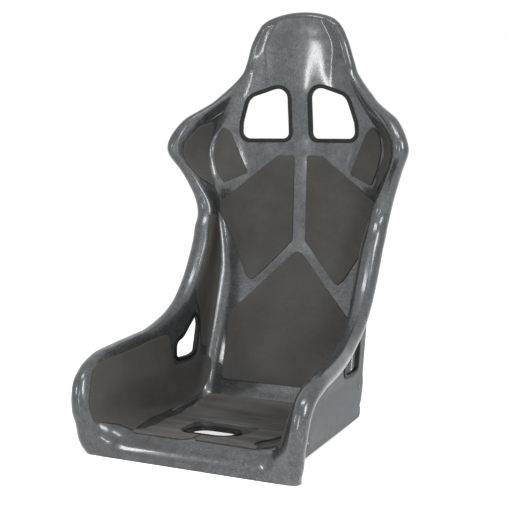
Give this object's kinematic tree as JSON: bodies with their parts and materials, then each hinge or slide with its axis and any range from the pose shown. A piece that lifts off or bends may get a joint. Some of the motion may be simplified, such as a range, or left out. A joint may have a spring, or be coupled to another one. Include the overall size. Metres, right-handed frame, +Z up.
{
  "type": "racing seat",
  "caption": "Fixed-back bucket seat shell with rolled rim, shoulder wings, bonded cover panels, rubber-edged belt openings and threaded side mounts.",
  "frame": {"origin": "on the floor, under the centre of the seat's bounding box", "axes": "+Z up, the occupant looks along -Y, +X to the occupant's left"},
  "size_m": [0.5738, 0.5996, 0.8982],
  "materials": {
    "fibre_shell": "silver-grey gelcoat with metal flake, glossy",
    "cover_panel": "matte dark grey",
    "edge_rubber": "satin black",
    "mount_steel": "zinc plated"
  },
  "bodies": {
    "root": {"seat_shell": "fibre_shell", "upper_back_panel_left": "cover_panel", "upper_back_panel_right": "cover_panel", "lower_back_panel": "cover_panel", "seat_base_panel": "cover_panel", "thigh_panel_left": "cover_panel", "thigh_panel_right": "cover_panel", "waist_panel_left": "cover_panel", "waist_panel_right": "cover_panel", "wing_inner_panel_left": "cover_panel", "wing_inner_panel_right": "cover_panel", "wing_outer_panel_left": "cover_panel", "wing_outer_panel_right": "cover_panel", "shoulder_slot_trim_left": "edge_rubber", "shoulder_slot_trim_right": "edge_rubber", "lap_slot_trim_left": "edge_rubber", "lap_slot_trim_right": "edge_rubber", "crotch_slot_trim": "edge_rubber", "side_mount_plate_left": "mount_steel", "side_mount_plate_right": "mount_steel", "front_insert_left": "mount_steel", "front_insert_right": "mount_steel", "rear_insert_left": "mount_steel", "rear_insert_right": "mount_steel"}
  },
  "joints": []
}
